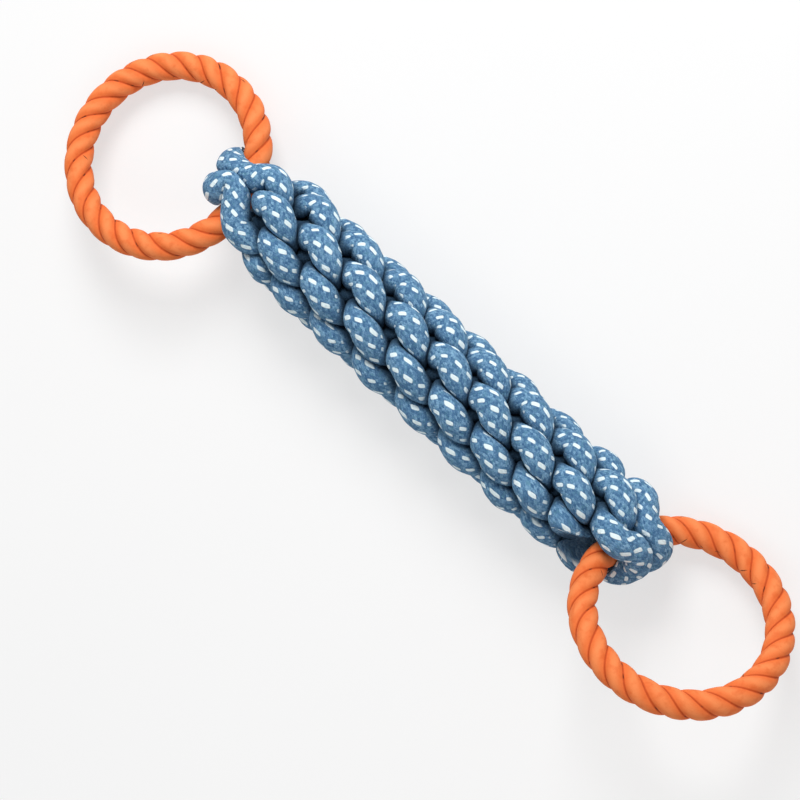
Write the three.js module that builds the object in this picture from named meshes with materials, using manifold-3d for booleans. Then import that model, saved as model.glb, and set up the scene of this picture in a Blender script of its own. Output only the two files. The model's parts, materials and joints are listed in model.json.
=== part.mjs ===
// Rope tug toy. Two soft cords are worked into a thick four-strand crown braid, the grip, and each
// cord passes round a moulded ring at either end of it. Millimetres, +X along the grip, +Z up.
// The toy lies on z = 0, with the middle of its outline over the origin.
import * as THREE from 'three';
import { mergeVertices } from 'three/addons/utils/BufferGeometryUtils.js';
import Module from 'manifold-3d';

const wasm = await Module();
wasm.setup();
const degrees = THREE.MathUtils.degToRad;

// Cord
const CORD_DIAMETER = 13.5;
const SQUEEZED_DIAMETER = 10.4;
const CORD_GAP = 2.5;
const LEAST_HALF = 1.2;
const CORD_END_GAP = 0.8;
const CORD_SIDES = 8;

// Braid: every layer is one crown, in which each of the four strands makes one bight on the outside
const GRIP_DIAMETER = 50;
const STRAND_COUNT = 4;
const LAYER_COUNT = 17;
const LAYER_PITCH = 12.3;
const BRAID_SHIFT = 3.5;
const LAYER_TURN = degrees(135.95);
const FIRST_BIGHT_ANGLE = degrees(5.8);

// Twist that the pull of each ring leaves in the last layers, and how fast it dies away
const LEFT_TWIST = degrees(23);
const RIGHT_TWIST = degrees(14);
const TWIST_LAYERS = 1.6;

// Course of one strand through a layer: mean radius, and waves in radius, turn and reach along X
const COURSE_RADIUS = 13.22;
const COURSE_FLATTENING = -0.62;
const COURSE_ARCH = degrees(7.5);
const TURN_WAVES = [degrees(-23.0), degrees(5.2)];
const REACH_WAVES = [6.2, -1.03];

// Loops round the rings: each runs from one of the last bights over the ring to its tip, and back below
const LEG_LENGTH = 4.2;
const LEG_PULLS = [0.3, 0.55];
const LOOP_OFFSET = 5.4;
const LOOP_SLANT = -0.65;
const LOOP_PRESSED_HALF = 4.4;
const LOOP_TIP_HALF = 6.4;
const LEFT_ROLL = degrees(-16);
const LEFT_YAW = degrees(13.3);
const LEFT_LOOP_SHIFT = 2.4;
const RIGHT_ROLL = degrees(-40.8);
const RIGHT_YAW = degrees(-19.9);
const RIGHT_LOOP_SHIFT = 0;
const TAIL_LAYERS = 0.5;

// Room that the braid keeps for its cord beside a swinging ring, where it would lie without the ring,
// and how deep into the grip it gives way
const CORD_ROOM = 4.6;
const UNPUSHED_REACH = 4.5;
const PUSH_DEPTH = 50;

// Rings, moulded in the shape of a closed three-strand rope
const RING_DIAMETER = 82;
const RING_THICKNESS = 12.5;
const RING_LOBES = 25;
const RING_STRANDS = 3;
const RING_GROOVE = 1.3;
const RING_CLEARANCE = 1.2;
const POINTS_PER_LOBE = 4;

// Flats worn by the lowest bights, on which the grip lies
const REST_FLAT_DEPTH = 1.5;
const FLOOR_GAP = 0.15;

// Steps along the cords: the fine course, and how many of its steps one facet takes
const STEPS_PER_LAYER = 24;
const STEPS_PER_LEG = 15;
const STEPS_PER_FACET = 3;

const cordRadius = CORD_DIAMETER / 2;
const squeezedRadius = SQUEEZED_DIAMETER / 2;
const bightRadius = GRIP_DIAMETER / 2 - cordRadius;
const ringRadius = RING_DIAMETER / 2;
const ringTube = RING_THICKNESS / 2;
const ringX = LAYER_COUNT * LAYER_PITCH / 2 + LEG_LENGTH;
const loopReach = ringTube + RING_CLEARANCE + LOOP_PRESSED_HALF;
const restHeight = GRIP_DIAMETER / 2 - REST_FLAT_DEPTH;

const denim = new THREE.MeshStandardMaterial({ color: 0x4a6d8c, roughness: 0.95, metalness: 0 });
const orange = new THREE.MeshStandardMaterial({ color: 0xe0682c, roughness: 0.7, metalness: 0 });

// An end of the grip has a frame in the middle of its tunnel, with the y axis along the ring there
function makeEnd(side, layer, roll, yaw, loopShift) {
  const middle = new THREE.Vector3(side * ringX, 0, 0);
  const turn = new THREE.Quaternion().setFromEuler(new THREE.Euler(roll, 0, yaw, 'ZYX'));
  return { side, layer, roll, yaw, loopShift, middle, turn };
}

const LEFT = makeEnd(-1, 0, LEFT_ROLL, LEFT_YAW, LEFT_LOOP_SHIFT);
const RIGHT = makeEnd(1, LAYER_COUNT, RIGHT_ROLL, RIGHT_YAW, RIGHT_LOOP_SHIFT);

// Radius of the space that a swinging ring sweeps round its tunnel, at a distance along the tunnel
function sweptRadius(offset) {
  const innerEdge = ringRadius - ringTube;
  return ringRadius - Math.sqrt(Math.max(innerEdge ** 2 - offset ** 2, 0));
}

// Moves a point of the braid along the grip, to give its cord room beside the space that a ring sweeps
function besideRing(point, end) {
  const local = point.clone().sub(end.middle).applyQuaternion(end.turn.clone().invert());
  const room = sweptRadius(local.y) + CORD_ROOM;
  const needed = Math.sqrt(Math.max(room ** 2 - local.z ** 2, 0));
  const short = needed - UNPUSHED_REACH;
  const push = (short + Math.hypot(short, 2)) / 2;
  const depth = -end.side * local.x / PUSH_DEPTH;
  local.x -= end.side * push * Math.max(1 - depth, 0) ** 2;
  return local.applyQuaternion(end.turn).add(end.middle);
}

// Point on a strand's centre line. The layer is a real number, whole where the strand is outermost.
function strandPoint(strand, layer) {
  const wave = 2 * Math.PI * layer;
  const swing = bightRadius - COURSE_RADIUS - COURSE_FLATTENING;
  const radius = COURSE_RADIUS + swing * Math.cos(wave) + COURSE_FLATTENING * Math.cos(2 * wave);
  const turn = TURN_WAVES[0] * Math.sin(wave) + TURN_WAVES[1] * Math.sin(2 * wave);
  const arch = COURSE_ARCH * (1 - Math.cos(wave));
  const leftTwist = LEFT_TWIST * Math.exp(-layer / TWIST_LAYERS);
  const rightTwist = RIGHT_TWIST * Math.exp((layer - LAYER_COUNT) / TWIST_LAYERS);
  const first = FIRST_BIGHT_ANGLE + 2 * Math.PI * strand / STRAND_COUNT;
  const angle = first + LAYER_TURN * layer + turn + arch + leftTwist + rightTwist;
  const reach = REACH_WAVES[0] * Math.sin(wave) + REACH_WAVES[1] * Math.sin(2 * wave);
  const x = LAYER_PITCH * (layer - LAYER_COUNT / 2) + BRAID_SHIFT + reach;
  const point = new THREE.Vector3(x, radius * Math.cos(angle), radius * Math.sin(angle));
  return [LEFT, RIGHT].reduce(besideRing, point);
}

// Half thickness that a strand has at a layer: full on the outside, squeezed where it crosses inside
function strandHalf(layer) {
  const share = (1 + Math.cos(2 * Math.PI * layer)) / 2;
  return squeezedRadius + (cordRadius - squeezedRadius) * share;
}

function strandSpeed(strand, layer) {
  const step = 1e-3;
  return strandPoint(strand, layer + step).sub(strandPoint(strand, layer - step)).divideScalar(2 * step);
}

// The strand that runs into a loop above the ring (level 1) or below it (level -1): the nearest one
function strandAtLeg(end, loop, level) {
  const legAngle = end.roll + level * (Math.PI / 2 - loop * Math.PI / STRAND_COUNT);
  const miss = (strand) => {
    const point = strandPoint(strand, end.layer);
    const apart = Math.atan2(point.z, point.y) - legAngle;
    return Math.abs(THREE.MathUtils.euclideanModulo(apart + Math.PI, 2 * Math.PI) - Math.PI);
  };
  const strands = Array.from({ length: STRAND_COUNT }, (_, strand) => strand);
  return strands.reduce((best, strand) => (miss(strand) < miss(best) ? strand : best));
}

// Half of a loop, from the strand's last bight to the tip, where it lies against the ring's far side
function legCurve(end, loop, level) {
  const strand = strandAtLeg(end, loop, level);
  const start = strandPoint(strand, end.layer);
  const away = strandSpeed(strand, end.layer).normalize().multiplyScalar(end.side);
  const tunnel = new THREE.Vector3(0, 1, 0).applyQuaternion(end.turn);
  const tip = end.middle.clone().addScaledVector(tunnel, end.loopShift + loop * LOOP_OFFSET);
  tip.x += end.side * loopReach / Math.hypot(tunnel.y, tunnel.z);
  const back = new THREE.Vector3(0, -end.side * LOOP_SLANT, 1).normalize().applyQuaternion(end.turn);
  const span = start.distanceTo(tip);
  const nearStrand = start.clone().addScaledVector(away, LEG_PULLS[0] * span);
  const nearTip = tip.clone().addScaledVector(back, LEG_PULLS[1] * span * level);
  return new THREE.CubicBezierCurve3(start, nearStrand, nearTip, tip);
}

// Stations of one run round a ring, from the strand at one level to the strand at the other
function loopStations(end, loop, fromLevel) {
  const out = legCurve(end, loop, fromLevel).getPoints(STEPS_PER_LEG).slice(0, -1);
  const back = legCurve(end, loop, -fromLevel).getPoints(STEPS_PER_LEG).reverse().slice(0, -1);
  return [...out, ...back].map((point, index) => {
    const share = (1 + Math.cos(Math.PI * index / STEPS_PER_LEG)) / 2;
    return { point, half: LOOP_TIP_HALF + (cordRadius - LOOP_TIP_HALF) * share };
  });
}

// Stations along a strand between two layers, without the last one
function strandStations(strand, fromLayer, toLayer) {
  const layers = Math.abs(toLayer - fromLayer);
  const count = STEPS_PER_FACET * Math.round(layers * STEPS_PER_LAYER / STEPS_PER_FACET);
  const stations = [];
  for (let step = 0; step < count; step += 1) {
    const layer = fromLayer + (toLayer - fromLayer) * step / count;
    stations.push({ point: strandPoint(strand, layer), half: strandHalf(layer) });
  }
  return stations;
}

// Whole course of a cord. It starts inside the braid near the right end, runs left along one strand,
// round the left ring, back right along another strand, round the right ring, and its tail goes back
// into the braid, where it stops just short of the start.
function cordStations(loop) {
  const leftward = strandAtLeg(LEFT, loop, -1);
  const rightward = strandAtLeg(LEFT, loop, 1);
  const arrivals = [[1, 1], [1, -1], [-1, 1], [-1, -1]];
  const [rightLoop, level] = arrivals.find((arrival) => strandAtLeg(RIGHT, ...arrival) === rightward);
  const tail = strandAtLeg(RIGHT, rightLoop, -level);
  const seam = LAYER_COUNT - TAIL_LAYERS;
  const halfGap = CORD_END_GAP / 2 / strandSpeed(leftward, seam).length();
  const last = seam + halfGap;
  return [
    ...strandStations(leftward, seam - halfGap, 0),
    ...loopStations(LEFT, loop, -1),
    ...strandStations(rightward, 0, LAYER_COUNT),
    ...loopStations(RIGHT, rightLoop, level),
    ...strandStations(tail, LAYER_COUNT, last),
    { point: strandPoint(tail, last), half: strandHalf(last) },
  ];
}

// Directions square to the course at each station, carried along it without twisting
function carryFrames(stations) {
  const points = stations.map((station) => station.point);
  const last = points.length - 1;
  let across = new THREE.Vector3(0, 0, 1);
  return points.map((point, index) => {
    const ahead = points[Math.min(index + 1, last)];
    const behind = points[Math.max(index - 1, 0)];
    const along = ahead.clone().sub(behind).normalize();
    across = across.clone().addScaledVector(along, -across.dot(along)).normalize();
    return { across, over: along.clone().cross(across) };
  });
}

// Distance from a station to where its cord meets the cords around it in one direction: the nearest
// plane that shares the space between two centre lines in the ratio of their thickness
function softRadius(station, direction, neighbours) {
  const reach = 2.6 * cordRadius;
  let limit = Infinity;
  for (const other of neighbours) {
    const apart = other.point.clone().sub(station.point);
    const spacing = apart.lengthSq();
    const towards = apart.dot(direction);
    if (spacing > 1 && spacing < reach * reach && towards > 1e-6) {
      const shared = spacing + station.half ** 2 - other.half ** 2;
      limit = Math.min(limit, shared / (2 * towards) - CORD_GAP / 2);
    }
  }
  const roundness = 6;
  const squeezed = Math.max(limit, LEAST_HALF);
  return (station.half ** -roundness + squeezed ** -roundness) ** (-1 / roundness);
}

// Shortens a cord's radius until its surface point clears the space that both rings sweep
function clearOfRings(station, direction, radius) {
  const step = 0.1;
  const fits = (size) => [LEFT, RIGHT].every((end) => {
    const point = station.point.clone().addScaledVector(direction, size).sub(end.middle);
    point.applyQuaternion(end.turn.clone().invert());
    return Math.hypot(point.x, point.z) >= sweptRadius(point.y) + RING_CLEARANCE;
  });
  let size = radius;
  while (size > step && !fits(size)) size -= step;
  return size;
}

// Closed body through rings of points, with a flat fan at each end
function skin(rings) {
  const sides = rings[0].length;
  const points = rings.flat();
  const faces = [];
  for (let ring = 0; ring < rings.length - 1; ring += 1) {
    for (let side = 0; side < sides; side += 1) {
      const a = ring * sides + side;
      const b = ring * sides + (side + 1) % sides;
      faces.push(a, b, b + sides, a, b + sides, a + sides);
    }
  }
  const total = (ring) => ring.reduce((sum, point) => sum.add(point), new THREE.Vector3());
  const middle = (ring) => total(ring).divideScalar(sides);
  const first = points.push(middle(rings[0])) - 1;
  const last = points.push(middle(rings.at(-1))) - 1;
  const lastRing = (rings.length - 1) * sides;
  for (let side = 0; side < sides; side += 1) {
    const next = (side + 1) % sides;
    faces.push(first, next, side, last, lastRing + side, lastRing + next);
  }
  const geometry = new THREE.BufferGeometry().setFromPoints(points);
  geometry.setIndex(faces);
  return geometry;
}

function cordGeometry(stations, neighbours) {
  const frames = carryFrames(stations);
  const rings = [];
  for (let index = 0; index < stations.length; index += STEPS_PER_FACET) {
    const { across, over } = frames[index];
    const ring = [];
    for (let side = 0; side < CORD_SIDES; side += 1) {
      const angle = 2 * Math.PI * side / CORD_SIDES;
      const direction = across.clone().multiplyScalar(Math.cos(angle)).addScaledVector(over, Math.sin(angle));
      const soft = softRadius(stations[index], direction, neighbours);
      const radius = clearOfRings(stations[index], direction, soft);
      ring.push(stations[index].point.clone().addScaledVector(direction, radius));
    }
    rings.push(ring);
  }
  return skin(rings);
}

function solidOf(geometry) {
  const bare = geometry.clone();
  bare.deleteAttribute('normal');
  bare.deleteAttribute('uv');
  const merged = mergeVertices(bare);
  const vertProperties = new Float32Array(merged.attributes.position.array);
  const triVerts = new Uint32Array(merged.index.array);
  return new wasm.Manifold(new wasm.Mesh({ numProp: 3, vertProperties, triVerts }));
}

function geometryOf(solid) {
  const mesh = solid.getMesh();
  const geometry = new THREE.BufferGeometry();
  geometry.setAttribute('position', new THREE.BufferAttribute(mesh.vertProperties, 3));
  geometry.setIndex(new THREE.BufferAttribute(mesh.triVerts, 1));
  geometry.computeVertexNormals();
  return geometry;
}

// Takes the rest flats off the lowest bights
function cutFlats(geometry) {
  const floor = new THREE.BoxGeometry(2 * ringX + 2 * ringRadius, 2 * GRIP_DIAMETER, GRIP_DIAMETER);
  floor.translate(0, 0, -restHeight - GRIP_DIAMETER / 2);
  return geometryOf(solidOf(geometry).subtract(solidOf(floor)));
}

// Ring about its own z axis. Its section has one lobe for each strand. From one step to the next the lobes
// move on by one point of the section, and the facets are split along them.
function ringGeometry() {
  const sides = RING_STRANDS * POINTS_PER_LOBE;
  const steps = RING_LOBES * POINTS_PER_LOBE;
  const points = [];
  const faces = [];
  for (let step = 0; step < steps; step += 1) {
    const round = 2 * Math.PI * step / steps;
    const next = (step + 1) % steps;
    for (let side = 0; side < sides; side += 1) {
      const around = 2 * Math.PI * side / sides;
      const crown = Math.abs(Math.cos(Math.PI * (side - step) / POINTS_PER_LOBE));
      const radius = ringTube - RING_GROOVE * (1 - crown);
      const out = ringRadius + radius * Math.cos(around);
      const height = -radius * Math.sin(around);
      points.push(new THREE.Vector3(out * Math.cos(round), out * Math.sin(round), height));
      const beside = (side + 1) % sides;
      const a = step * sides + side;
      const b = step * sides + beside;
      const c = next * sides + side;
      const d = next * sides + beside;
      faces.push(a, b, d, a, d, c);
    }
  }
  const geometry = new THREE.BufferGeometry().setFromPoints(points);
  geometry.setIndex(faces);
  geometry.computeVertexNormals();
  return geometry;
}

// Lift of a ring about its tunnel at which its lowest edge just touches the surface that the grip lies on
function restLift(end) {
  const drop = (restHeight - ringTube - FLOOR_GAP) / ringRadius;
  const rise = (Math.sin(end.roll) ** 2 - drop ** 2) / (2 * drop);
  return Math.asin(rise / Math.cos(end.roll));
}

// A ring hangs in its tunnel: the pivot is on the tunnel's axis, and the ring's middle one radius out
function hangRing(end, name) {
  const ring = new THREE.Mesh(ringGeometry(), orange);
  ring.name = name;
  ring.position.x = end.side * ringRadius;
  const pivot = new THREE.Group();
  pivot.add(ring);
  pivot.position.copy(end.middle);
  pivot.rotation.order = 'ZXY';
  pivot.rotation.set(end.roll, -end.side * restLift(end), end.yaw);
  return pivot;
}

function makeCord(name, stations, neighbours) {
  const cord = new THREE.Mesh(cutFlats(cordGeometry(stations, neighbours)), denim);
  cord.name = name;
  return cord;
}

const firstCourse = cordStations(1);
const secondCourse = cordStations(-1);
const allCourses = [...firstCourse, ...secondCourse];

const toy = new THREE.Group();
toy.add(makeCord('first_cord', firstCourse, allCourses));
toy.add(makeCord('second_cord', secondCourse, allCourses));
toy.add(hangRing(LEFT, 'left_ring'));
toy.add(hangRing(RIGHT, 'right_ring'));

// Stand the toy on z = 0 with the middle of its outline over the origin
const outline = new THREE.Box3().setFromObject(toy, true);
const middle = outline.getCenter(new THREE.Vector3());
toy.position.set(-middle.x, -middle.y, restHeight);

export default toy;
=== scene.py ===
"""Looks of the rope tug toy: two soft flecked cords in a crown braid, and a rope-shaped ring at each end."""

import json
import math
from collections import namedtuple

import bpy
import numpy as np
from mathutils import Matrix, Vector


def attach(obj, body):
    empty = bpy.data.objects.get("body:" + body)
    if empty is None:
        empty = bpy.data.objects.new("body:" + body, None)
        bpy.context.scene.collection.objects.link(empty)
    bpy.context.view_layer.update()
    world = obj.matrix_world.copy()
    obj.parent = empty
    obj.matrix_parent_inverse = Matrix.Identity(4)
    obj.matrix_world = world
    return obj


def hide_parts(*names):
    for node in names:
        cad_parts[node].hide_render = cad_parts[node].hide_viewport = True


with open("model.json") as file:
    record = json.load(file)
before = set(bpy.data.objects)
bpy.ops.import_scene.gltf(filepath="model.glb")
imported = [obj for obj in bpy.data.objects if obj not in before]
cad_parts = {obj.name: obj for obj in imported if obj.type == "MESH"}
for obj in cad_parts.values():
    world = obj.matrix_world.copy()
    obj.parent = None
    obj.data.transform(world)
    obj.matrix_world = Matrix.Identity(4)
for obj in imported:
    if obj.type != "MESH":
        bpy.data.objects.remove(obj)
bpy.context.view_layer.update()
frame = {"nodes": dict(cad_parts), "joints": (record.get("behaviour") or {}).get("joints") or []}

MM = 0.001
TURN = 2 * math.pi

# Cord: fuller where it is squeezed than in the part's source, so that the cords all but touch
CORD_RADIUS = 6.75 * MM
SQUEEZED_RADIUS = 5.7 * MM
CORD_GAP = 0.12 * MM
CORD_END_GAP = 0.8 * MM
LEAST_RADIUS = 2.2 * MM
ROUNDNESS = 6
CONTACT_REACH = 2.6 * CORD_RADIUS
OWN_REACH = 1 * MM

# Braid: each layer is one crown, in which each of the four strands makes one bight on the outside
BIGHT_RADIUS = 18.25 * MM
STRAND_COUNT = 4
LAYER_COUNT = 17
LAYER_PITCH = 12.3 * MM
BRAID_SHIFT = 3.5 * MM
LAYER_TURN = math.radians(135.95)
FIRST_BIGHT_ANGLE = math.radians(5.8)
LEFT_TWIST = math.radians(23)
RIGHT_TWIST = math.radians(14)
TWIST_LAYERS = 1.6
COURSE_RADIUS = 13.22 * MM
COURSE_FLATTENING = -0.62 * MM
COURSE_ARCH = math.radians(7.5)
TURN_WAVES = (math.radians(-23.0), math.radians(5.2))
REACH_WAVES = (6.2 * MM, -1.03 * MM)

# Unevenness of a braid worked by hand: how far bights stray along and round the grip, and the phase of that
# for each layer, for each strand and at the start
STRAY_ALONG = 0.7 * MM
STRAY_ROUND = math.radians(2.4)
ALONG_PHASES = (2.3, 1.9, 0.0)
ROUND_PHASES = (1.7, 2.4, 1.0)

# Lumps in the cord, as a share of its radius: length of each wave, waves round the cord and phase
LUMP_SHARE = 0.008
LUMP_WAVES = ((7.3 * MM, 2, 1.3), (5.1 * MM, -3, 4.0), (11.9 * MM, -1, 0.0))

# Loops round the rings. What differs at the two ends is listed by side, -1 for left and 1 for right.
LEG_PULLS = (0.3, 0.55)
LOOP_OFFSET = 5.4 * MM
LOOP_SHIFTS = {-1: 2.4 * MM, 1: 0.0}
LOOP_SLANT = -0.65
LOOP_REACHES = {-1: 10.5 * MM, 1: 10.3 * MM}
LOOP_TIP_RADII = {-1: 7.6 * MM, 1: 7.4 * MM}
TAIL_LAYERS = 0.5

# How far each loop's legs gather over the ring, by side and loop, and where the course's bends are softened
LEG_GATHERS = {(-1, 1): 0.55, (-1, -1): 0.95, (1, 1): 0.5, (1, -1): 0.5}
GATHER_SKEW = 0.8
BEND_PASSES = 16
BEND_START = (92 * MM, 104 * MM)

# Room that the braid keeps for its cord beside a swinging ring
CORD_ROOM = 4.6 * MM
UNPUSHED_REACH = 4.5 * MM
PUSH_DEPTH = 50 * MM
PUSH_SOFTNESS = 2 * MM

# Painted shade in the braid's valleys, where the cords lie deep between the bights: by distance from its
# axis, by how far the cord is squeezed and by distance from the middle of the grip, each from light to dark
PAINTED_SHADE_RADII = (20.8 * MM, 16.2 * MM)
PAINTED_SHADE_CROSSING = (0.4, 0.8)
PAINTED_SHADE_ENDS = (108 * MM, 92 * MM)

# Rings
RING_RADIUS = 41 * MM
RING_TUBE = 6.25 * MM
RING_LOBES = 25
RING_STRANDS = 3
RING_GROOVE = 1.3 * MM
GROOVE_SHARPNESS = 1.5
RING_CLEARANCE = 0.5 * MM

# Stray of the rings' lay round the section: radians, waves round the ring and phase
LAY_WAVES = ((0.10, 3, 1), (0.08, 8, 2), (0.05, 13, 0))

# Mesh steps
STEPS_PER_LAYER = 36
STEPS_PER_LEG = 30
CORD_SIDES = 36
STEPS_PER_LOBE = 20
RING_SIDES = 54

# Camera that matches the photograph, with its distance in metres and its lens in millimetres. Its target is
# given from the middle of the grip.
CAMERA_AZIMUTH = math.radians(148)
CAMERA_ELEVATION = math.radians(73.4)
CAMERA_ROLL = math.radians(40.5)
CAMERA_DISTANCE = 1.0335
CAMERA_TARGET = Vector((-0.2 * MM, -19.4 * MM, 0))
CAMERA_LENS = 110

# Studio: strength of the even room light, share of plain white in the floor that is seen, and the lamps, with
# lengths in metres and powers in watts
ROOM_LIGHT = 0.34
FLOOR_GLOW = 0.6
FLOOR_SIZE = 4.0
FLOOR_NOISE_SCALE = 6.0
FLOOR_TONES = ((0.86, 0.86, 0.86, 1), (0.90, 0.90, 0.90, 1))
WHITE = (1, 1, 1, 1)
Softbox = namedtuple("Softbox", "name place size power")
SOFTBOXES = (
    Softbox("key", (-0.55, 0.75, 0.9), 0.6, 14),
    Softbox("fill", (0.6, -0.5, 1.1), 0.8, 3),
)

End = namedtuple("End", "side layer roll turn pivot")


def end_from_frame(side, layer, joint_name):
    """One end of the grip, from the hinge that its ring swings on. Its frame has y along the tunnel."""
    joint = next(j for j in frame["joints"] if j["name"] == joint_name)
    tunnel = -side * Vector(joint["axis"])
    roll, yaw = math.asin(tunnel.z), math.atan2(-tunnel.x, tunnel.y)
    turn = Matrix.Rotation(yaw, 3, "Z") @ Matrix.Rotation(roll, 3, "X")
    return End(side, layer, roll, np.array(turn), np.array(joint["pos_m"]))


LEFT = end_from_frame(-1, 0, "left_ring_swing")
RIGHT = end_from_frame(1, LAYER_COUNT, "right_ring_swing")
GRIP_CENTRE = (LEFT.pivot + RIGHT.pivot) / 2


def swept_radius(offset):
    """Radius of the space that a swinging ring sweeps round its tunnel, at a distance along the tunnel."""
    inner_edge = RING_RADIUS - RING_TUBE
    return RING_RADIUS - np.sqrt(np.maximum(inner_edge ** 2 - offset ** 2, 0))


def in_end_frame(points, end):
    """Points given from the middle of the grip, in the frame of one end."""
    return (points + GRIP_CENTRE - end.pivot) @ end.turn


def from_end_frame(local, end):
    """Points given in the frame of one end, from the middle of the grip."""
    return local @ end.turn.T + end.pivot - GRIP_CENTRE


def beside_ring(points, end):
    """Points of the braid moved along the grip, to give the cord room beside the space that a ring sweeps."""
    local = in_end_frame(points, end)
    room = swept_radius(local[..., 1]) + CORD_ROOM
    needed = np.sqrt(np.maximum(room ** 2 - local[..., 2] ** 2, 0))
    short = needed - UNPUSHED_REACH
    push = (short + np.hypot(short, PUSH_SOFTNESS)) / 2
    depth = -end.side * local[..., 0] / PUSH_DEPTH
    local[..., 0] -= end.side * push * np.maximum(1 - depth, 0) ** 2
    return from_end_frame(local, end)


def stray_wave(phases, strand, layers):
    """Wave of the braid's unevenness along a strand, between -1 and 1."""
    return np.sin(phases[0] * layers + phases[1] * strand + phases[2])


def strand_points(strand, layers):
    """Centre line of a strand. A layer is a real number, whole where the strand is outermost."""
    wave = TURN * layers
    swing = BIGHT_RADIUS - COURSE_RADIUS - COURSE_FLATTENING
    radius = COURSE_RADIUS + swing * np.cos(wave) + COURSE_FLATTENING * np.cos(2 * wave)
    angle = FIRST_BIGHT_ANGLE + LAYER_TURN * layers + TURN * strand / STRAND_COUNT
    angle = angle + TURN_WAVES[0] * np.sin(wave) + TURN_WAVES[1] * np.sin(2 * wave)
    angle = angle + COURSE_ARCH * (1 - np.cos(wave)) + LEFT_TWIST * np.exp(-layers / TWIST_LAYERS)
    angle = angle + RIGHT_TWIST * np.exp((layers - LAYER_COUNT) / TWIST_LAYERS)
    x = LAYER_PITCH * (layers - LAYER_COUNT / 2) + BRAID_SHIFT
    x = x + REACH_WAVES[0] * np.sin(wave) + REACH_WAVES[1] * np.sin(2 * wave)
    loose = np.sin(math.pi * np.clip(layers / LAYER_COUNT, 0, 1))
    x = x + STRAY_ALONG * loose * stray_wave(ALONG_PHASES, strand, layers)
    angle = angle + STRAY_ROUND * loose * stray_wave(ROUND_PHASES, strand, layers)
    points = np.stack([x, radius * np.cos(angle), radius * np.sin(angle)], -1)
    return beside_ring(beside_ring(points, LEFT), RIGHT)


def strand_speed(strand, layer):
    """How far a strand goes for each layer, and which way."""
    step = 1e-3
    ahead, behind = strand_points(strand, np.array([layer + step, layer - step]))
    return (ahead - behind) / (2 * step)


def strand_course(strand, layers):
    """Centre line and half thickness: full on the outside, squeezed where the strand crosses inside."""
    share = (1 + np.cos(TURN * layers)) / 2
    halves = SQUEEZED_RADIUS + (CORD_RADIUS - SQUEEZED_RADIUS) * share
    return np.column_stack([strand_points(strand, layers), halves])


def strand_at_leg(end, loop, level):
    """The strand that runs into a loop above the ring (level 1) or below it (level -1): the nearest one."""
    leg_angle = end.roll + level * (TURN / 4 - loop * TURN / 2 / STRAND_COUNT)

    def miss(strand):
        point = strand_points(strand, np.array(float(end.layer)))
        return abs((math.atan2(point[2], point[1]) - leg_angle + TURN / 2) % TURN - TURN / 2)

    return min(range(STRAND_COUNT), key=miss)


def leg_points(end, loop, level):
    """Half of a loop, from the strand's last bight to the tip, where it lies against the ring's far side."""
    strand = strand_at_leg(end, loop, level)
    start = strand_points(strand, np.array(float(end.layer)))
    away = strand_speed(strand, end.layer) * end.side
    tunnel = end.turn[:, 1]
    shift = LOOP_SHIFTS[end.side]
    tip = end.pivot - GRIP_CENTRE + (shift + loop * LOOP_OFFSET) * tunnel
    tip[0] += end.side * LOOP_REACHES[end.side] / math.hypot(tunnel[1], tunnel[2])
    back = end.turn @ (0, -end.side * LOOP_SLANT, 1)
    span = np.linalg.norm(tip - start)
    near_start = start + away / np.linalg.norm(away) * LEG_PULLS[0] * span
    near_tip = tip + back / np.linalg.norm(back) * LEG_PULLS[1] * span * level
    t = np.linspace(0, 1, STEPS_PER_LEG + 1)[:, None]
    points = ((1 - t) ** 3 * start + 3 * t * (1 - t) ** 2 * near_start
              + 3 * t ** 2 * (1 - t) * near_tip + t ** 3 * tip)
    local = in_end_frame(points, end)
    gather = LEG_GATHERS[end.side, loop] * np.sin(math.pi * t ** GATHER_SKEW) ** 2
    local[:, 1:2] -= gather * (local[:, 1:2] - shift)
    return from_end_frame(local, end)


def loop_course(end, loop, from_level):
    """From the strand at one level round the ring to the strand at the other, fuller at the tip."""
    out = leg_points(end, loop, from_level)[:-1]
    back = leg_points(end, loop, -from_level)[:0:-1]
    share = (1 + np.cos(math.pi * np.arange(2 * STEPS_PER_LEG) / STEPS_PER_LEG)) / 2
    tip_half = LOOP_TIP_RADII[end.side]
    halves = tip_half + (CORD_RADIUS - tip_half) * share
    return np.column_stack([np.concatenate([out, back]), halves])


def eased(values, low, high):
    """0 at low and 1 at high, with a soft change between."""
    share = np.clip((values - low) / (high - low), 0, 1)
    return share * share * (3 - 2 * share)


def softened_bends(course):
    """Course without the tight bends where its strands run into the loops."""
    soft = course.copy()
    for _ in range(BEND_PASSES):
        soft[1:-1] = (soft[:-2] + 2 * soft[1:-1] + soft[2:]) / 4
    share = eased(np.abs(course[:, :1]), *BEND_START)
    return course + share * (soft - course)


def cord_course(loop):
    """Whole course of a cord: left along one strand, round the left ring, right along another, round
    the right ring, and back into the braid to meet its own start."""
    above, below = 1, -1
    leftward = strand_at_leg(LEFT, loop, below)
    rightward = strand_at_leg(LEFT, loop, above)
    arrivals = [(side, level) for side in (1, -1) for level in (above, below)]
    right_loop, level = next(a for a in arrivals if strand_at_leg(RIGHT, *a) == rightward)
    tail = strand_at_leg(RIGHT, right_loop, -level)
    seam = LAYER_COUNT - TAIL_LAYERS
    half_gap = CORD_END_GAP / 2 / np.linalg.norm(strand_speed(leftward, seam))
    whole = LAYER_COUNT * STEPS_PER_LAYER
    short = round(TAIL_LAYERS * STEPS_PER_LAYER)
    return softened_bends(np.concatenate([
        strand_course(leftward, np.linspace(seam - half_gap, 0, whole - short)[:-1]),
        loop_course(LEFT, loop, below),
        strand_course(rightward, np.linspace(0, LAYER_COUNT, whole + 1)[:-1]),
        loop_course(RIGHT, right_loop, level),
        strand_course(tail, np.linspace(LAYER_COUNT, seam + half_gap, short)),
    ]))


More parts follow.
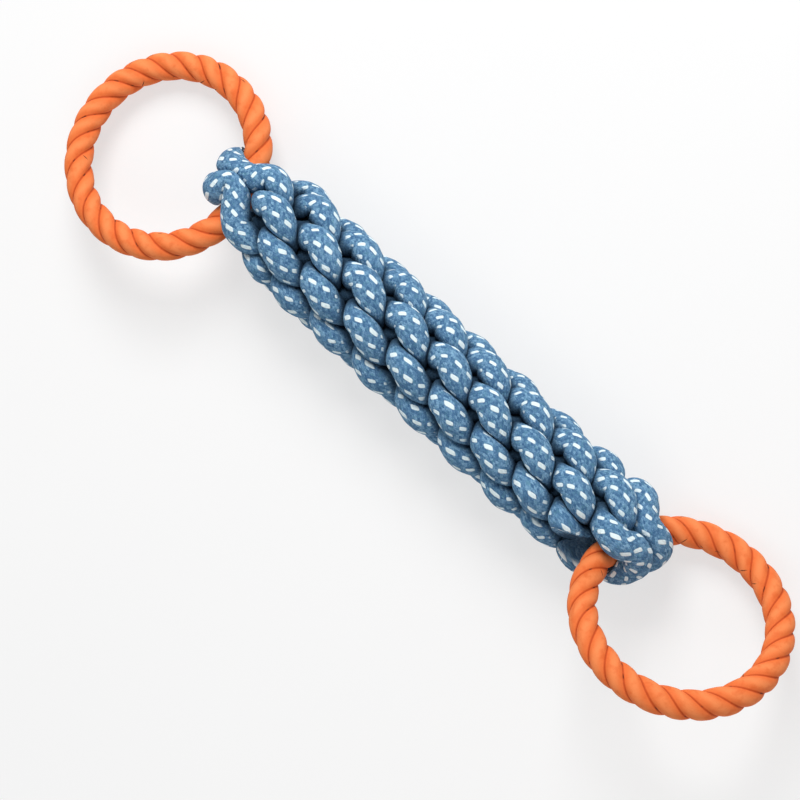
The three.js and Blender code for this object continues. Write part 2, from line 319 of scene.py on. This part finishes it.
def carried_frames(points):
    """Two directions square to the course at each point, carried along it without twisting."""
    along = np.gradient(points, axis=0)
    along /= np.linalg.norm(along, axis=1)[:, None]
    across = np.empty_like(points)
    carried = np.array([0.0, 0.0, 1.0])
    for index, direction in enumerate(along):
        carried = carried - carried.dot(direction) * direction
        carried /= np.linalg.norm(carried)
        across[index] = carried
    return across, np.cross(along, across)


def soft_radii(course, directions, everything):
    """How far a soft cord reaches in each direction before it meets the cords round it."""
    tiny = 1e-9
    radii = np.empty(directions.shape[:2])
    for index, (station, fan) in enumerate(zip(course, directions)):
        apart = everything[:, :3] - station[:3]
        spacing = (apart ** 2).sum(1)
        near = (spacing > OWN_REACH ** 2) & (spacing < CONTACT_REACH ** 2)
        shared = spacing[near] + station[3] ** 2 - everything[near, 3] ** 2
        towards = fan @ apart[near].T
        limits = np.where(towards > tiny, shared / (2 * np.maximum(towards, tiny)), np.inf)
        limit = np.maximum(limits.min(1) - CORD_GAP / 2, LEAST_RADIUS)
        radii[index] = (station[3] ** -ROUNDNESS + limit ** -ROUNDNESS) ** (-1 / ROUNDNESS)
    return radii


def clear_of_rings(surface):
    """Presses surface points out of the space that each swinging ring sweeps round its tunnel."""
    for end in (LEFT, RIGHT):
        local = in_end_frame(surface, end)
        from_axis = np.hypot(local[..., 0], local[..., 2])
        least = swept_radius(local[..., 1]) + RING_CLEARANCE
        local[..., (0, 2)] *= (np.maximum(from_axis, least) / from_axis)[..., None]
        surface = from_end_frame(local, end)
    return surface


def evened(radii):
    """Radii smoothed a little along the cord and round it, as cloth evens out a crease."""
    padded = np.pad(radii, ((1, 1), (0, 0)), mode="edge")
    radii = (padded[:-2] + 2 * padded[1:-1] + padded[2:]) / 4
    return (np.roll(radii, 1, 1) + 2 * radii + np.roll(radii, -1, 1)) / 4


def lumps(along, around):
    """Slow unevenness of a stuffed cord, as a factor on its radius."""
    waves = (np.sin(TURN * along / length + turns * around + phase) for length, turns, phase in LUMP_WAVES)
    return 1 + LUMP_SHARE * sum(waves)


def mesh_object(name, points, faces, uvs, material, smooth=True):
    """Mesh piece from points and faces, with one UV for each corner."""
    mesh = bpy.data.meshes.new(name)
    mesh.from_pydata(points.tolist(), [], faces)
    mesh.polygons.foreach_set("use_smooth", [smooth] * len(mesh.polygons))
    layer = mesh.uv_layers.new(name="lay")
    layer.data.foreach_set("uv", np.asarray(uvs, float).ravel())
    mesh.materials.append(material)
    mesh.update()
    piece = bpy.data.objects.new(name, mesh)
    bpy.context.scene.collection.objects.link(piece)
    return piece


def painted_shade_depth(surface, halves):
    """How deep each point lies between the bights of the braid, for the painted shade there: 0 on the outside
    and 1 far inside.
    """
    from_centre = surface - GRIP_CENTRE
    from_axis = np.hypot(from_centre[..., 1], from_centre[..., 2])
    in_braid = eased(np.abs(from_centre[..., 0]), *PAINTED_SHADE_ENDS)
    crossing = (CORD_RADIUS - halves) / (CORD_RADIUS - SQUEEZED_RADIUS)
    depth = np.maximum(eased(from_axis, *PAINTED_SHADE_RADII), eased(crossing, *PAINTED_SHADE_CROSSING)[:, None])
    return depth * in_braid


def cord_surface(course, along, everything):
    """Surface of a soft cord, pressed by the cords round it, by the swinging rings and by the ground."""
    points = course[:, :3]
    across, over = carried_frames(points)
    around = np.linspace(0, TURN, CORD_SIDES, endpoint=False)
    directions = (across[:, None] * np.cos(around)[None, :, None]
                  + over[:, None] * np.sin(around)[None, :, None])
    radii = evened(soft_radii(course, directions, everything)) * lumps(along[:, None], around)
    surface = clear_of_rings(points[:, None] + directions * radii[..., None]) + GRIP_CENTRE
    surface[..., 2] = np.maximum(surface[..., 2], 0)
    return surface


def cord_faces(along):
    """Faces of a cord, closed at both ends, and their UVs: turns round the cord and metres along it."""
    faces, uvs = [], []
    for station in range(len(along) - 1):
        for side in range(CORD_SIDES):
            a, b = station * CORD_SIDES + side, station * CORD_SIDES + (side + 1) % CORD_SIDES
            faces.append((a, b, b + CORD_SIDES, a + CORD_SIDES))
            left, right = side / CORD_SIDES, (side + 1) / CORD_SIDES
            near, far = along[station], along[station + 1]
            uvs += [(left, near), (right, near), (right, far), (left, far)]
    last = (len(along) - 1) * CORD_SIDES
    faces += [tuple(reversed(range(CORD_SIDES))), tuple(range(last, last + CORD_SIDES))]
    uvs += [(0.0, along[0])] * CORD_SIDES + [(0.0, along[-1])] * CORD_SIDES
    return faces, uvs


def make_cord(name, course, everything, material):
    """One cord as a soft closed tube, which knows how deep in the braid each of its points lies, for the
    painted shade in the valleys.
    """
    steps = np.linalg.norm(np.diff(course[:, :3], axis=0), axis=1)
    along = np.concatenate([[0], np.cumsum(steps)])
    surface = cord_surface(course, along, everything)
    faces, uvs = cord_faces(along)
    piece = mesh_object(name + "_soft", surface.reshape(-1, 3), faces, uvs, material)
    # How deep each point lies in the braid, where the sleeve gets painted shade
    painted_shade = piece.data.attributes.new("painted_shade", "FLOAT", "POINT")
    painted_shade.data.foreach_set("value", painted_shade_depth(surface, course[:, 3]).ravel())
    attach(piece, "grip")
    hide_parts(name)


def ring_axes(end, name):
    """Middle of a ring and its own three axes, from its CAD node."""
    corners = np.array([v.co for v in frame["nodes"][name].data.vertices])
    centre = corners.mean(0)
    x_axis = (centre - end.pivot) * end.side
    x_axis /= np.linalg.norm(x_axis)
    y_axis = end.turn[:, 1]
    return centre, x_axis, y_axis, np.cross(x_axis, y_axis)


def lobe_profile(phase):
    """Radius of the ring's section: three broad strands side by side, with narrow grooves between them."""
    crown = np.abs(np.cos(phase * RING_STRANDS / 2))
    return RING_TUBE - RING_GROOVE * (1 - crown) ** GROOVE_SHARPNESS


def lay_wobble(turn):
    """How far the lay of the strands strays round the section, in radians."""
    return sum(stray * np.sin(waves * turn + phase) for stray, waves, phase in LAY_WAVES)


def ring_faces(strays):
    """Faces of a ring and their UVs: turns round the ring, and round its section along with the lay."""
    steps = len(strays)
    faces, uvs = [], []
    for step in range(steps):
        for side in range(RING_SIDES):
            row, next_row = step * RING_SIDES, (step + 1) % steps * RING_SIDES
            beside = (side + 1) % RING_SIDES
            faces.append((row + side, row + beside, next_row + beside, next_row + side))
            near, far = step / steps, (step + 1) / steps
            left, right = side / RING_SIDES, (side + 1) / RING_SIDES
            stray, next_stray = strays[step], strays[(step + 1) % steps]
            uvs += [(near, left + stray), (near, right + stray),
                    (far, right + next_stray), (far, left + next_stray)]
    return faces, uvs


def make_ring(end, name, material):
    """A ring in the shape of a closed three-strand rope."""
    centre, x_axis, y_axis, z_axis = ring_axes(end, name)
    turn = np.linspace(0, TURN, RING_LOBES * STEPS_PER_LOBE, endpoint=False)[:, None]
    around = np.linspace(0, TURN, RING_SIDES, endpoint=False)[None, :]
    wobble = lay_wobble(turn)
    radius = lobe_profile(around + wobble - turn * RING_LOBES / RING_STRANDS)
    out = RING_RADIUS + radius * np.cos(around)
    points = (centre + (out * np.cos(turn))[..., None] * x_axis + (out * np.sin(turn))[..., None] * y_axis
              - (radius * np.sin(around))[..., None] * z_axis)
    faces, uvs = ring_faces((wobble / TURN).ravel())
    piece = mesh_object(name + "_rubber", points.reshape(-1, 3), faces, uvs, material)
    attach(piece, name + "_body")
    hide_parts(name)


class Graph:
    """Short calls for building the nodes of one material or of the world."""

    def __init__(self, owner):
        owner.use_nodes = True
        self.owner = owner
        self.tree = owner.node_tree
        self.shader = self.tree.nodes.get("Principled BSDF")

    def put(self, socket, value):
        if isinstance(value, bpy.types.NodeSocket):
            self.tree.links.new(value, socket)
        else:
            socket.default_value = value

    def add(self, kind, inputs=None, **settings):
        node = self.tree.nodes.new(kind)
        for key, value in settings.items():
            setattr(node, key, value)
        for key, value in (inputs or {}).items():
            self.put(node.inputs[key], value)
        return node

    def math(self, operation, *values):
        node = self.add("ShaderNodeMath", dict(enumerate(values)), operation=operation)
        return node.outputs[0]

    def vector(self, x, y):
        return self.add("ShaderNodeCombineXYZ", {"X": x, "Y": y}).outputs[0]

    def smooth(self, value, low, high):
        """0 at low and 1 at high, with a soft change between."""
        inputs = {"Value": value, "From Min": low, "From Max": high}
        return self.add("ShaderNodeMapRange", inputs, interpolation_type="SMOOTHSTEP").outputs[0]

    def mix(self, factor, a, b):
        node = self.add("ShaderNodeMix", data_type="RGBA")
        for socket, value in ((node.inputs[0], factor), (node.inputs[6], a), (node.inputs[7], b)):
            self.put(socket, value)
        return node.outputs[2]

    def noise(self, vector, scale, detail=2.0):
        inputs = {"Vector": vector, "Scale": scale, "Detail": detail}
        return self.add("ShaderNodeTexNoise", inputs).outputs["Fac"]

    def random(self, x, y):
        """A random number and a random colour for each cell of a grid."""
        node = self.add("ShaderNodeTexWhiteNoise", {"Vector": self.vector(x, y)}, noise_dimensions="2D")
        return node.outputs["Value"], node.outputs["Color"]

    def split(self, vector):
        """The three numbers of a vector or of a colour."""
        return self.add("ShaderNodeSeparateXYZ", {0: vector}).outputs[:]

    def lay(self):
        """The piece's two UVs."""
        return self.split(self.add("ShaderNodeUVMap", uv_map="lay").outputs[0])[:2]

    def total(self, *parts):
        """Sum of values, each with the share that it counts for."""
        scaled = [self.math("MULTIPLY", value, share) for value, share in parts]
        result = scaled[0]
        for value in scaled[1:]:
            result = self.math("ADD", result, value)
        return result

    def dress(self, colour, relief, strength, depth):
        """Gives the shader its colour, and a relief of fine bumps."""
        self.put(self.shader.inputs["Base Color"], colour)
        bump = self.add("ShaderNodeBump", {"Height": relief, "Strength": strength, "Distance": depth})
        self.put(self.shader.inputs["Normal"], bump.outputs[0])


# Sleeve of the cord: a fine weave at 45 degrees to it, with white yarns that show as staggered flecks. Each
# fleck strays along the cord, sways by an angle in radians and varies in size.
CORD_GIRTH = TURN * CORD_RADIUS
WEAVE_CELLS = 32
FLECK_COLUMNS = 12
FLECK_PITCH = 7.8 * MM
FLECK_ANGLE = math.radians(-48)
FLECK_HALF_LENGTH = 1.6 * MM
FLECK_HALF_WIDTH = 0.78 * MM
FLECK_STRAY = 0.5 * MM
FLECK_SWAY = 0.25
FLECK_SIZES = (0.82, 1.1)
FLECK_SQUARENESS = 4.0
FLECK_EDGE = (1.5, 0.5)
# Painted shade: the colour of the sleeve deep in the braid's valleys
DENIM_PAINTED_SHADE = (0.018, 0.042, 0.078, 1)
DENIM_DARK = (0.052, 0.138, 0.270, 1)
DENIM_MID = (0.122, 0.262, 0.44, 1)
DENIM_LIGHT = (0.29, 0.50, 0.68, 1)
DENIM_TEAL = (0.11, 0.27, 0.37, 1)
FLECK_WHITE = (0.86, 0.98, 1.0, 1)
SHEEN_TINT = (0.45, 0.7, 0.9, 1)

# Tones of the sleeve: scales of its noises per metre, what each counts for in the tone, and the tones
# between which each blue comes in
HEATHER_SCALE, CLOUD_SCALE, TEAL_SCALE, FUZZ_SCALE = 2200.0, 160.0, 700.0, 2600.0
HEATHER_SHARE, YARN_SHARE, CLOUD_SHARE = 0.9, 0.45, 0.15
MID_TONES = (0.46, 0.90)
LIGHT_TONES = (0.74, 1.18)
TEAL_TONES = (0.5, 0.75)
TEAL_SHARE = 0.6
FLECK_HEATHER = 0.14

# Painted shade in the valleys of the braid: how dark it gets, and the depths at which flecks are gone and
# whole
PAINTED_SHADE_SHARE = 0.88
FLECKS_IN_PAINTED_SHADE = (0.35, 0.05)

# Relief of the sleeve, its sheen, and what the yarns, fuzz and flecks count for in the relief
SLEEVE_BUMP, SLEEVE_DEPTH = 0.6, 0.4 * MM
YARN_RELIEF, FUZZ_RELIEF, FLECK_RELIEF = 0.7, 0.6, 0.6
SLEEVE_SHEEN = 0.2


def turned(graph, x, y, angle):
    """Two coordinates in axes that are turned by an angle."""
    c, s = graph.math("COSINE", angle), graph.math("SINE", angle)
    first = graph.math("ADD", graph.math("MULTIPLY", x, c), graph.math("MULTIPLY", y, s))
    second = graph.math("SUBTRACT", graph.math("MULTIPLY", y, c), graph.math("MULTIPLY", x, s))
    return first, second


def spread(graph, random, low, high):
    """A random number between two values, from one between 0 and 1."""
    return graph.math("MULTIPLY_ADD", random, high - low, low)


def cell_place(graph, value, size):
    """Which cell of a row of cells a value is in, and how far it is from the middle of that cell."""
    index = graph.math("FLOOR", value)
    from_middle = graph.math("SUBTRACT", graph.math("SUBTRACT", value, index), 0.5)
    return index, graph.math("MULTIPLY", from_middle, size)


def fleck_mask(graph, turn, along):
    """1 on the white flecks, which stand in columns along the cord, every other column half a step on."""
    column, side = cell_place(graph, graph.math("MULTIPLY", turn, FLECK_COLUMNS), CORD_GIRTH / FLECK_COLUMNS)
    stagger = graph.math("MULTIPLY", graph.math("MODULO", column, 2.0), 0.5)
    row = graph.math("ADD", graph.math("DIVIDE", along, FLECK_PITCH), stagger)
    row, ahead = cell_place(graph, row, FLECK_PITCH)
    chance = graph.split(graph.random(column, row)[1])
    ahead = graph.math("ADD", ahead, spread(graph, chance[0], -FLECK_STRAY, FLECK_STRAY))
    angle = graph.math("ADD", FLECK_ANGLE, spread(graph, chance[1], -FLECK_SWAY, FLECK_SWAY))
    length, width = turned(graph, ahead, side, angle)
    size = spread(graph, chance[2], *FLECK_SIZES)
    edges = []
    for distance, half in ((length, FLECK_HALF_LENGTH), (width, FLECK_HALF_WIDTH)):
        share = graph.math("DIVIDE", graph.math("ABSOLUTE", distance), graph.math("MULTIPLY", size, half))
        edges.append(graph.math("POWER", share, FLECK_SQUARENESS))
    return graph.smooth(graph.math("ADD", *edges), *FLECK_EDGE)


def weave_relief(graph, turn, along):
    """Height of the woven yarns, and a random number for each of them."""
    girth = graph.math("MULTIPLY", turn, WEAVE_CELLS)
    length = graph.math("DIVIDE", along, CORD_GIRTH / WEAVE_CELLS)
    first = graph.math("ADD", girth, length)
    second = graph.math("SUBTRACT", girth, length)
    first_index, second_index = graph.math("FLOOR", first), graph.math("FLOOR", second)
    first_crown = graph.math("SINE", graph.math("MULTIPLY", graph.math("FRACT", first), math.pi))
    second_crown = graph.math("SINE", graph.math("MULTIPLY", graph.math("FRACT", second), math.pi))
    over = graph.math("MODULO", graph.math("ABSOLUTE", graph.math("ADD", first_index, second_index)), 2.0)
    under = graph.math("SUBTRACT", 1.0, over)
    height = graph.math("ADD", graph.math("MULTIPLY", first_crown, over),
                        graph.math("MULTIPLY", second_crown, under))
    return height, graph.random(first_index, second_index)[0]


def denim_material():
    """Soft blue heathered sleeve with white flecks, and painted shade in the braid's valleys."""
    graph = Graph(bpy.data.materials.new("denim_cord_sleeve"))
    turn, along = graph.lay()
    painted_shade = graph.add("ShaderNodeAttribute", attribute_name="painted_shade").outputs["Fac"]
    fleck = graph.math("MULTIPLY", fleck_mask(graph, turn, along), graph.smooth(painted_shade, *FLECKS_IN_PAINTED_SHADE))
    height, yarn_random = weave_relief(graph, turn, along)
    sleeve = graph.vector(graph.math("MULTIPLY", turn, CORD_GIRTH), along)
    heather = graph.noise(sleeve, HEATHER_SCALE, detail=3.0)
    cloud = graph.noise(sleeve, CLOUD_SCALE, detail=2.0)
    tone = graph.total((heather, HEATHER_SHARE), (yarn_random, YARN_SHARE), (cloud, CLOUD_SHARE))
    blue = graph.mix(graph.smooth(tone, *MID_TONES), DENIM_DARK, DENIM_MID)
    blue = graph.mix(graph.smooth(tone, *LIGHT_TONES), blue, DENIM_LIGHT)
    teal = graph.smooth(graph.noise(sleeve, TEAL_SCALE, detail=1.0), *TEAL_TONES)
    blue = graph.mix(graph.math("MULTIPLY", teal, TEAL_SHARE), blue, DENIM_TEAL)
    white = graph.mix(graph.math("MULTIPLY", heather, FLECK_HEATHER), FLECK_WHITE, DENIM_LIGHT)
    # Painted shade: the sleeve darkens to a deep blue in the valleys of the braid, and its flecks fade there
    painted_shade_amount = graph.math("MULTIPLY", painted_shade, PAINTED_SHADE_SHARE)
    colour = graph.mix(painted_shade_amount, graph.mix(fleck, blue, white), DENIM_PAINTED_SHADE)
    fuzz = graph.noise(sleeve, FUZZ_SCALE, detail=2.0)
    relief = graph.total((height, YARN_RELIEF), (fuzz, FUZZ_RELIEF), (fleck, FLECK_RELIEF))
    graph.dress(colour, relief, SLEEVE_BUMP, SLEEVE_DEPTH)
    graph.shader.inputs["Roughness"].default_value = 0.95
    graph.shader.inputs["Specular IOR Level"].default_value = 0.1
    # The sheen fades out where the shade is painted
    graph.put(graph.shader.inputs["Sheen Weight"], spread(graph, painted_shade, SLEEVE_SHEEN, 0.0))
    graph.shader.inputs["Sheen Roughness"].default_value = 0.5
    graph.shader.inputs["Sheen Tint"].default_value = SHEEN_TINT
    return graph.owner


# Rubber of the rings: its colours, and the scales of its noises per metre
ORANGE = (0.84, 0.182, 0.045, 1)
ORANGE_PALE_CROWN = (0.91, 0.258, 0.082, 1)
ORANGE_DEEP = (0.74, 0.125, 0.024, 1)
# Painted shade in the grooves between the strands
ORANGE_PAINTED_GROOVE_SHADE = (0.52, 0.066, 0.010, 1)
SLIT_BROWN = (0.07, 0.016, 0.008, 1)
WEAR_SCALE, GRAIN_SCALE, BLOTCH_SCALE, SLIT_SCALE, DENT_SCALE = 90.0, 1500.0, 240.0, 150.0, 400.0

# Where the rubber's tones come in: distances from a groove are shares of a strand's width, the rest are tones
CROWN_EDGE, CROWN_NOISE = (0.25, 0.65), 0.3
CHALK_GRAIN = 0.3
BLOTCH_TONES, BLOTCH_SHARE = (0.48, 0.72), 0.55
GROOVE_SHADE_EDGE = (0.10, 0.0)
SLIT_EDGE, SLIT_TONES = (0.045, 0.015), (0.60, 0.68)

# Relief of the rubber, and what its grain, slits and dents count for in it
RUBBER_BUMP, RUBBER_DEPTH = 0.4, 0.3 * MM
GRAIN_RELIEF, SLIT_RELIEF, DENT_RELIEF = 0.7, -1.5, 0.8
RUBBER_ROUGHNESS = (0.6, 0.85)

# Hairline cracks, of which each cell round the ring and round its section may hold one. A crack strays from
# the middle of its cell and sways by an angle in radians.
CRACK_CELLS = (32, 3)
CRACK_SHARE = 0.3
CRACK_HALF_LENGTHS = (1.4 * MM, 2.8 * MM)
CRACK_HALF_WIDTH = 0.3 * MM
CRACK_EDGE = (1.0, 0.3)
CRACK_STRAY_ALONG = 1.3 * MM
CRACK_STRAY_ROUND = 4 * MM
CRACK_SWAY = 0.9


def crack_mask(graph, turn, section):
    """1 on short hairline cracks, strewn singly over the ring."""
    long_cell, wide_cell = TURN * RING_RADIUS / CRACK_CELLS[0], TURN * RING_TUBE / CRACK_CELLS[1]
    column, ahead = cell_place(graph, graph.math("MULTIPLY", turn, CRACK_CELLS[0]), long_cell)
    row, side = cell_place(graph, graph.math("MULTIPLY", section, CRACK_CELLS[1]), wide_cell)
    present, colour = graph.random(column, row)
    chance = graph.split(colour)
    side = graph.math("ADD", side, spread(graph, chance[0], -CRACK_STRAY_ROUND, CRACK_STRAY_ROUND))
    nearness = graph.math("DIVIDE", present, CRACK_SHARE)
    ahead = graph.math("ADD", ahead, spread(graph, nearness, -CRACK_STRAY_ALONG, CRACK_STRAY_ALONG))
    length, width = turned(graph, ahead, side, spread(graph, chance[1], -CRACK_SWAY, CRACK_SWAY))
    half = spread(graph, chance[2], *CRACK_HALF_LENGTHS)
    length = graph.math("POWER", graph.math("DIVIDE", length, half), 2.0)
    width = graph.math("DIVIDE", graph.math("ABSOLUTE", width), CRACK_HALF_WIDTH)
    line = graph.smooth(graph.math("ADD", length, width), *CRACK_EDGE)
    return graph.math("MULTIPLY", line, graph.math("LESS_THAN", present, CRACK_SHARE))


def rubber_material():
    """Matt orange rubber, paler along the crowns of the strands, with painted shade in the grooves and
    hairline cracks.
    """
    graph = Graph(bpy.data.materials.new("orange_rope_rubber"))
    turn, section = graph.lay()
    phase = graph.math("SUBTRACT", graph.math("MULTIPLY", section, float(RING_STRANDS)),
                       graph.math("MULTIPLY", turn, float(RING_LOBES)))
    from_groove = graph.math("ABSOLUTE", graph.math("SUBTRACT", graph.math("FRACT", phase), 0.5))
    sleeve = graph.vector(graph.math("MULTIPLY", turn, TURN * RING_RADIUS),
                          graph.math("MULTIPLY", section, TURN * RING_TUBE))
    cloud = graph.noise(sleeve, WEAR_SCALE, detail=3.0)
    grain = graph.noise(sleeve, GRAIN_SCALE, detail=3.0)
    # Paler along the crowns of the strands, with a noisy edge and a fine grain
    crown_reach = graph.math("ADD", from_groove, graph.math("MULTIPLY", cloud, CROWN_NOISE))
    crown = graph.smooth(crown_reach, *CROWN_EDGE)
    chalk = graph.math("ADD", crown, spread(graph, grain, -CHALK_GRAIN, CHALK_GRAIN))
    colour = graph.mix(chalk, ORANGE, ORANGE_PALE_CROWN)
    blotch = graph.smooth(graph.noise(sleeve, BLOTCH_SCALE, detail=4.0), *BLOTCH_TONES)
    colour = graph.mix(graph.math("MULTIPLY", blotch, BLOTCH_SHARE), colour, ORANGE_DEEP)
    # Painted shade in the grooves between the strands
    colour = graph.mix(graph.smooth(from_groove, *GROOVE_SHADE_EDGE), colour, ORANGE_PAINTED_GROOVE_SHADE)
    slit_place = graph.smooth(graph.noise(sleeve, SLIT_SCALE, detail=1.0), *SLIT_TONES)
    slit = graph.math("MULTIPLY", graph.smooth(from_groove, *SLIT_EDGE), slit_place)
    slit = graph.math("MAXIMUM", slit, crack_mask(graph, turn, section))
    colour = graph.mix(slit, colour, SLIT_BROWN)
    dents = graph.noise(sleeve, DENT_SCALE, detail=2.0)
    relief = graph.total((grain, GRAIN_RELIEF), (slit, SLIT_RELIEF), (dents, DENT_RELIEF))
    graph.dress(colour, relief, RUBBER_BUMP, RUBBER_DEPTH)
    graph.put(graph.shader.inputs["Roughness"], spread(graph, cloud, *RUBBER_ROUGHNESS))
    graph.shader.inputs["Specular IOR Level"].default_value = 0.2
    return graph.owner


def seen_directly(graph):
    """1 for the rays that show the background as it is: from the camera, a reflection or through glass."""
    path = graph.add("ShaderNodeLightPath").outputs
    seen = graph.math("MAXIMUM", path["Is Camera Ray"], path["Is Glossy Ray"])
    return graph.math("MAXIMUM", seen, path["Is Transmission Ray"])


def floor_material():
    """White paper that keeps the toy's soft shadow."""
    graph = Graph(bpy.data.materials.new("studio_floor"))
    place = graph.add("ShaderNodeTexCoord").outputs["Object"]
    tone = graph.mix(graph.noise(place, FLOOR_NOISE_SCALE), *FLOOR_TONES)
    graph.put(graph.shader.inputs["Base Color"], tone)
    graph.shader.inputs["Roughness"].default_value = 0.9
    glow = graph.add("ShaderNodeEmission", {"Color": WHITE, "Strength": 1.0})
    share = graph.math("MULTIPLY", seen_directly(graph), FLOOR_GLOW)
    inputs = {0: share, 1: graph.shader.outputs[0], 2: glow.outputs[0]}
    blend = graph.add("ShaderNodeMixShader", inputs)
    graph.put(graph.tree.nodes["Material Output"].inputs["Surface"], blend.outputs[0])
    return graph.owner


def make_floor():
    """Wide floor that the toy lies on."""
    corners = FLOOR_SIZE * np.array([(-1, -1, 0), (1, -1, 0), (1, 1, 0), (-1, 1, 0)])
    uvs = [(0, 0), (1, 0), (1, 1), (0, 1)]
    mesh_object("floor", corners, [(0, 1, 2, 3)], uvs, floor_material(), smooth=False)


def make_world():
    """Even white room light, in front of a plain white background."""
    graph = Graph(bpy.data.worlds.new("studio"))
    room = graph.tree.nodes["Background"]
    room.inputs["Color"].default_value = WHITE
    room.inputs["Strength"].default_value = ROOM_LIGHT
    white = graph.add("ShaderNodeBackground", {"Color": WHITE, "Strength": 1.0})
    inputs = {0: seen_directly(graph), 1: room.outputs[0], 2: white.outputs[0]}
    blend = graph.add("ShaderNodeMixShader", inputs)
    graph.put(graph.tree.nodes["World Output"].inputs["Surface"], blend.outputs[0])
    bpy.context.scene.world = graph.owner


def add_softbox(softbox):
    """Square area lamp that faces the toy."""
    lamp = bpy.data.lights.new(softbox.name, "AREA")
    lamp.size = softbox.size
    lamp.energy = softbox.power
    lamp_object = bpy.data.objects.new(softbox.name, lamp)
    lamp_object.location = softbox.place
    lamp_object.rotation_euler = (-Vector(softbox.place)).to_track_quat("-Z", "Y").to_euler()
    bpy.context.scene.collection.objects.link(lamp_object)


def make_camera():
    """Camera above the toy, rolled so that the grip lies across the frame as in the photograph."""
    level, height = math.cos(CAMERA_ELEVATION), math.sin(CAMERA_ELEVATION)
    back = Vector((level * math.sin(CAMERA_AZIMUTH), -level * math.cos(CAMERA_AZIMUTH), height))
    right = Vector((0, 1, 0)).cross(back).normalized()
    up = back.cross(right)
    c, s = math.cos(CAMERA_ROLL), math.sin(CAMERA_ROLL)
    axes = Matrix((c * right + s * up, c * up - s * right, back)).transposed()
    camera = bpy.data.objects.new("camera", bpy.data.cameras.new("camera"))
    camera.data.lens = CAMERA_LENS
    place = Vector(GRIP_CENTRE) + CAMERA_TARGET + back * CAMERA_DISTANCE
    camera.matrix_world = Matrix.Translation(place) @ axes.to_4x4()
    bpy.context.scene.collection.objects.link(camera)
    bpy.context.scene.camera = camera


make_camera()
denim = denim_material()
rubber = rubber_material()
courses = {"first_cord": cord_course(1), "second_cord": cord_course(-1)}
all_courses = np.concatenate(list(courses.values()))
for cord_name, cord_stations in courses.items():
    make_cord(cord_name, cord_stations, all_courses, denim)
make_ring(LEFT, "left_ring", rubber)
make_ring(RIGHT, "right_ring", rubber)

make_floor()
make_world()
for softbox in SOFTBOXES:
    add_softbox(softbox)
bpy.context.scene.view_settings.view_transform = "Standard"
